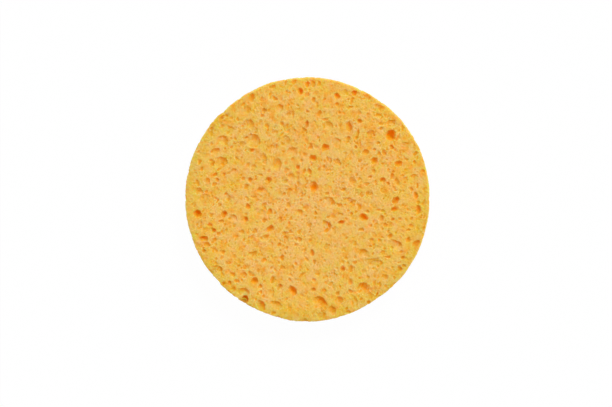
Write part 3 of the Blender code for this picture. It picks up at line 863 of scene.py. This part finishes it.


# The slab with all its pores, from wide to fine, and then a small hollow in each closed cell.
# Drawn pores and hollows are shallower near the punched edges, and all but the wide and middle ones
# in the calm stretches too. No wide pore is drawn near the working face, where they are placed.
# Eight values of each point go to the finish: how far it lies under the cut (sunk), the pores'
# tones as orange shade painted into their bottoms, how hollow the foam is round it over a fine and
# a wider stretch (hollow, dip), how far the surface turns away from the cut (steep), how far out it
# lies (away), how rough the stretch is (rough) and how low it lies (low).
def foamSurface():
    rng = np.random.default_rng(foam["seed"])
    base, outward, faces, rows = baseSlab()
    fromFace = np.minimum(base[:, 2], thickness - base[:, 2])
    fromRim = radius - np.hypot(base[:, 0], base[:, 1])
    edge = np.clip(1 - np.hypot(fromFace, fromRim) / foam["edgeReach"], 0, 1)
    give = 1 - (1 - foam["edgeDepthShare"]) * edge
    contrast = foam["calmContrast"]
    rough = softNoise(base, foam["calmSize"], foam["seed"])
    rough = np.clip(contrast * rough - (contrast - 1) / 2, 0, 1)
    rough = foam["calmShare"] + (1 - foam["calmShare"]) * rough
    seeds = foam["seed"] + np.arange(1, 4)
    sway = np.stack([softNoise(base, foam["swaySize"], seed) for seed in seeds], 1)
    sway = foam["swayReach"] * (2 * sway - 1)
    still = np.zeros_like(sway)
    poreShade = np.zeros(len(base))
    everywhere = np.ones(len(base), bool)
    placed = placedPores()
    upper = base[:, 2] > thickness - drawnPores["wide"]["mouth"][1]
    wide = drawPores(base, outward, drawnPores["wide"], rng, ~upper, give)
    wide = picked(wide, clearOf(wide, placed, foam["poreWall"]).all(1))
    wide = thinned(wide, foam["poreWall"])
    places, poreShade = openPores(base, outward, joined([placed, wide]), poreShade, sway, rng)
    places = relaxed(places, faces, foam["lipRounding"])
    print("pores opened:", len(placed["depth"]), "placed,", len(wide["depth"]), "wide")
    for name in ("middle", "small", "fine"):
        swaying = name == "middle"  # these also keep clear of the placed pores
        normals = vertexNormals(places, faces)
        depths = give if swaying else give * rough
        pores = drawPores(places, normals, drawnPores[name], rng, everywhere, depths)
        if swaying:
            pores = picked(pores, clearOf(pores, placed, 0).all(1))
        places, poreShade = openPores(places, normals, pores, poreShade, sway if swaying else still, rng)
        print("pores opened:", len(pores["depth"]), name)
    cells = cellNoise(places, cellRelief["size"], foam["seed"])
    cells = np.minimum(cells / cellRelief["wallShare"], 1)
    relief = cellRelief["depth"] * (1 - cells**2) * give * rough
    places = places - vertexNormals(places, faces) * relief[:, None]
    places[:, 2] = np.maximum(places[:, 2], 0)  # nothing reaches under the floor
    normals = vertexNormals(places, faces)
    few, more, most = foam["blurSteps"]
    near = relaxed(places, faces, few)
    wider = relaxed(near, faces, more)
    far = relaxed(wider, faces, most)
    values = {
        "sunk": ((base - places) * outward).sum(1),
        "poreShade": poreShade,
        "hollow": ((near - places) * normals).sum(1),
        "dip": ((far - places) * normals).sum(1),
        "steep": 1 - (vertexNormals(wider, faces) * outward).sum(1),
        "away": np.hypot(base[:, 0], base[:, 1]) / radius,
        "rough": rough,
        "low": (1 - base[:, 2] / thickness) ** foam["lowFade"],
    }
    return base, places, faces, rows, values


# The map that the finish is kept on: the flat faces as two discs in opposite corners, and the
# wall in four strips, two above each other in each of the other corners. Its sizes are in shares
# of the map.
def faceMap(base, faces, rows):
    flatCount = foam["faceCells"] ** 2
    discWide, stripWide, stripHigh, margin = 0.56, 0.43, 0.074, 0.004
    scale = discWide / (2 * base[:, 0].max())
    spot = base[faces][:, :, :2] * scale
    uv = np.empty((len(faces), 4, 2))
    uv[:flatCount] = spot[:flatCount] + (discWide / 2, 1 - discWide / 2)
    uv[-flatCount:] = spot[-flatCount:] * (-1, 1) + (1 - discWide / 2, discWide / 2)
    steps, around = rows.shape[0] - 1, rows.shape[1]
    quarter = around // 4
    row, column = np.divmod(np.arange(steps * around), around)
    strip, place = np.divmod(column, quarter)
    left = np.where(strip % 2 == 0, margin, 1 - margin - stripWide)
    bottom = margin + np.where(strip < 2, 0, stripHigh + 2 * margin)
    bottom = np.where(strip % 2 == 0, bottom, 1 - stripHigh - bottom)
    for corner, (down, ahead) in enumerate(((0, 0), (1, 0), (1, 1), (0, 1))):
        wall = uv[flatCount:-flatCount, corner]
        wall[:, 0] = left + stripWide * (place + ahead) / quarter
        wall[:, 1] = bottom + stripHigh * (1 - (row + down) / steps)
    return uv


# What a user would change about the finish. The colours are linear. A range is where a colour
# comes in, from not at all to fully, and the share of the same name is how strong it then is.
foamFinish = {
    "yellow": (0.838, 0.552, 0.066),
    "peach": (0.865, 0.541, 0.177),
    "hueSize": 0.003,  # the size of the yellow and the peach patches
    "hueSeed": 0.0,
    "hueRange": (0.10, 0.64),  # of their noise, from yellow to peach
    "cellHueShare": 0.05,  # how much peachier one fine cell is than another
    "rimHueShare": 0.24,  # how much yellower the rim is than the middle
    # A painted highlight: paler colour where the foam stands out.
    "paintedHighlight": (0.866, 0.645, 0.265),
    "paintedHighlightRange": (0.00001, -0.00007),  # how hollow it is, in metres: the painted highlight comes where it stands out
    "paintedHighlightShare": 0.58,
    "rust": (0.885, 0.400, 0.045),
    "patchSize": 0.0019,  # the size of the soft rust patches
    "patchSeed": 5.0,
    "patchRange": (0.45, 0.75),  # of their noise
    "patchShare": 0.85,
    # Painted shade: orange in the hollows, on the pores' steep walls and in their bottoms.
    "orange": (0.900, 0.378, 0.010),
    "dipRange": (0.00003, 0.00024),  # how deep the hollows between the pores are, in metres
    "dipShare": 0.70,
    "steepRange": (0.03, 0.32),  # how steep the pores' walls are
    "steepShare": 0.75,
    "toneShare": 0.82,  # how strong the orange shade painted by the pores' tones is
    # Painted shade: the deepest orange, far under the cut.
    "deep": (1.000, 0.345, 0.003),
    "deepRange": (0.0006, 0.0018),  # how far under the cut, in metres
    "edgeTint": (0.89, 0.99, 0.96),  # what the other colours are multiplied by at the upper rim
    "lowTint": (1.0, 0.72, 0.55),  # the same at the lower rim, where less red glows through
    "edgeRange": (0.86, 1.0),  # how far out, in shares of the radius
    "noiseLayers": 2.0,  # finer layers in the noise of the patches
    "noiseRoughness": 0.5,  # how strong each is beside the one before
    "cellSize": 0.00042,  # the size of the fine cells, which are finer than the mesh
    "grainShare": 0.08,  # how much brighter one of them is than another
    "cellBump": 0.00003,  # how high their walls stand
    "cellBumpRange": (0.05, 0.7),  # how far from a cell's middle, in shares of its size
    "roughness": 0.92,
    "specular": 0.1,
    "glowThrough": 1.0,  # share of the light that travels inside the foam
    "glowReach": 0.0048,  # how far it travels there
    "glowShares": (1.0, 0.22, 0.10),  # how far red, green and blue travel, in shares of glowReach
}


# A share of the second colour over the first. The sockets of a mix node that hold colours are
# found by their numbers, because they share their names with the others.
def mixColour(tree, share, first, second, blend="MIX"):
    firstSocket, secondSocket, mixedSocket = 6, 7, 2
    node = tree.nodes.new("ShaderNodeMix")
    node.data_type = "RGBA"
    node.blend_type = blend
    feed(tree, node.inputs["Factor"], share)
    feed(tree, node.inputs[firstSocket], first)
    feed(tree, node.inputs[secondSocket], second)
    return node.outputs[mixedSocket]


# A colour made brighter or darker by a factor.
def scaledColour(tree, colour, factor):
    node = tree.nodes.new("ShaderNodeVectorMath")
    node.operation = "SCALE"
    feed(tree, node.inputs[0], colour)
    feed(tree, node.inputs["Scale"], factor)
    return node.outputs[0]


# A value brought smoothly from the ends of one of the finish's ranges to 0 and 1.
def ranged(tree, value, name):
    start, end = foamFinish[name + "Range"]
    node = tree.nodes.new("ShaderNodeMapRange")
    node.interpolation_type = "SMOOTHSTEP"
    feed(tree, node.inputs["Value"], value)
    feed(tree, node.inputs["From Min"], start)
    feed(tree, node.inputs["From Max"], end)
    return node.outputs["Result"]


# The same, times the finish's share of that name.
def shared(tree, value, name):
    return calc(tree, "MULTIPLY", ranged(tree, value, name), foamFinish[name + "Share"])


# One of the values that the foam's surface keeps for its points.
def pointValue(tree, name):
    node = tree.nodes.new("ShaderNodeAttribute")
    node.attribute_name = name
    return node.outputs["Fac"]


# Noise of a size with finer layers, another one for each seed.
def softPatches(tree, place, size, seed):
    node = tree.nodes.new("ShaderNodeTexNoise")
    node.noise_dimensions = "4D"
    feed(tree, node.inputs["Vector"], place)
    feed(tree, node.inputs["W"], seed)
    feed(tree, node.inputs["Scale"], 1 / size)
    feed(tree, node.inputs["Detail"], foamFinish["noiseLayers"])
    feed(tree, node.inputs["Roughness"], foamFinish["noiseRoughness"])
    return node.outputs["Fac"]


# The colours in layers: a ground from yellow to peach, a pale painted highlight where the foam
# stands out, soft rust patches, orange painted shade where it is hollow, steep or shaded by a
# pore's tone, whichever is strongest, and the deepest orange, painted shade too, far under the cut.
# The rim is tinted, and each fine cell of the ground has its own hue and brightness. The bump is
# those cells, lower in the calm stretches.
def foamMaterial():
    finish = foamFinish
    material = bpy.data.materials.new("celluloseFoam")
    material.use_nodes = True
    tree = material.node_tree
    shader = tree.nodes["Principled BSDF"]
    place = tree.nodes.new("ShaderNodeTexCoord").outputs["Object"]
    cells = tree.nodes.new("ShaderNodeTexVoronoi")
    feed(tree, cells.inputs["Vector"], place)
    feed(tree, cells.inputs["Scale"], 1 / finish["cellSize"])
    split = tree.nodes.new("ShaderNodeSeparateColor")
    feed(tree, split.inputs["Color"], cells.outputs["Color"])
    cellHue, cellGrain = split.outputs[0], split.outputs[1]
    away = pointValue(tree, "away")
    hue = softPatches(tree, place, finish["hueSize"], finish["hueSeed"])
    hue = calc(tree, "MULTIPLY_ADD", cellHue, finish["cellHueShare"], hue)
    hue = calc(tree, "MULTIPLY_ADD", away, -finish["rimHueShare"], hue)
    colour = mixColour(tree, ranged(tree, hue, "hue"), finish["yellow"], finish["peach"])
    # Painted highlight: paler where the foam stands out.
    highlightStrength = shared(tree, pointValue(tree, "hollow"), "paintedHighlight")
    colour = mixColour(tree, highlightStrength, colour, finish["paintedHighlight"])
    patches = softPatches(tree, place, finish["patchSize"], finish["patchSeed"])
    colour = mixColour(tree, shared(tree, patches, "patch"), colour, finish["rust"])
    # Painted shade: orange in the hollows and on the steep walls of the pores.
    dipped = shared(tree, pointValue(tree, "dip"), "dip")
    steep = shared(tree, pointValue(tree, "steep"), "steep")
    # Painted shade: the orange that each pore's tone paints into its bottom.
    paintedPoreShade = calc(tree, "MULTIPLY", pointValue(tree, "poreShade"), finish["toneShare"])
    strongest = calc(tree, "MAXIMUM", calc(tree, "MAXIMUM", dipped, steep), paintedPoreShade)
    colour = mixColour(tree, strongest, colour, finish["orange"])
    # Painted shade: the deepest orange where the surface lies far under the cut.
    sunk = ranged(tree, pointValue(tree, "sunk"), "deep")
    colour = mixColour(tree, sunk, colour, finish["deep"])
    tint = mixColour(tree, pointValue(tree, "low"), finish["edgeTint"], finish["lowTint"])
    colour = mixColour(tree, ranged(tree, away, "edge"), colour, tint, "MULTIPLY")
    darkest = 1 - finish["grainShare"] / 2
    grain = calc(tree, "MULTIPLY_ADD", cellGrain, finish["grainShare"], darkest)
    feed(tree, shader.inputs["Base Color"], scaledColour(tree, colour, grain))
    bump = tree.nodes.new("ShaderNodeBump")
    feed(tree, bump.inputs["Height"], ranged(tree, cells.outputs["Distance"], "cellBump"))
    bumpHigh = calc(tree, "MULTIPLY", pointValue(tree, "rough"), finish["cellBump"])
    feed(tree, bump.inputs["Distance"], bumpHigh)
    feed(tree, shader.inputs["Normal"], bump.outputs["Normal"])
    feed(tree, shader.inputs["Roughness"], finish["roughness"])
    feed(tree, shader.inputs["Specular IOR Level"], finish["specular"])
    feed(tree, shader.inputs["Subsurface Weight"], finish["glowThrough"])
    feed(tree, shader.inputs["Subsurface Radius"], finish["glowShares"])
    feed(tree, shader.inputs["Subsurface Scale"], finish["glowReach"])
    return material


# The piece itself: the surface as a mesh, with its values, its map and its finish. It stands for
# the plain solid of the sponge.
def makeSponge():
    base, places, faces, rows, values = foamSurface()
    data = bpy.data.meshes.new("spongeFoam")
    data.vertices.add(len(places))
    data.vertices.foreach_set("co", places.astype(np.float32).ravel())
    data.loops.add(faces.size)
    data.loops.foreach_set("vertex_index", faces.astype(np.int32).ravel())
    data.polygons.add(len(faces))
    data.polygons.foreach_set("loop_start", np.arange(0, faces.size, 4, dtype=np.int32))
    data.update(calc_edges=True)
    data.shade_smooth()
    for name, value in values.items():
        layer = data.attributes.new(name, "FLOAT", "POINT")
        layer.data.foreach_set("value", value.astype(np.float32))
    layer = data.uv_layers.new(name="OFBake")
    layer.data.foreach_set("uv", faceMap(base, faces, rows).astype(np.float32).ravel())
    data.materials.append(foamMaterial())
    piece = bpy.data.objects.new("spongeFoam", data)
    scene.collection.objects.link(piece)
    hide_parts("sponge")
    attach(piece, "root")
    print("sponge made:", len(places), "points,", 2 * len(faces), "triangles")


makeSponge()
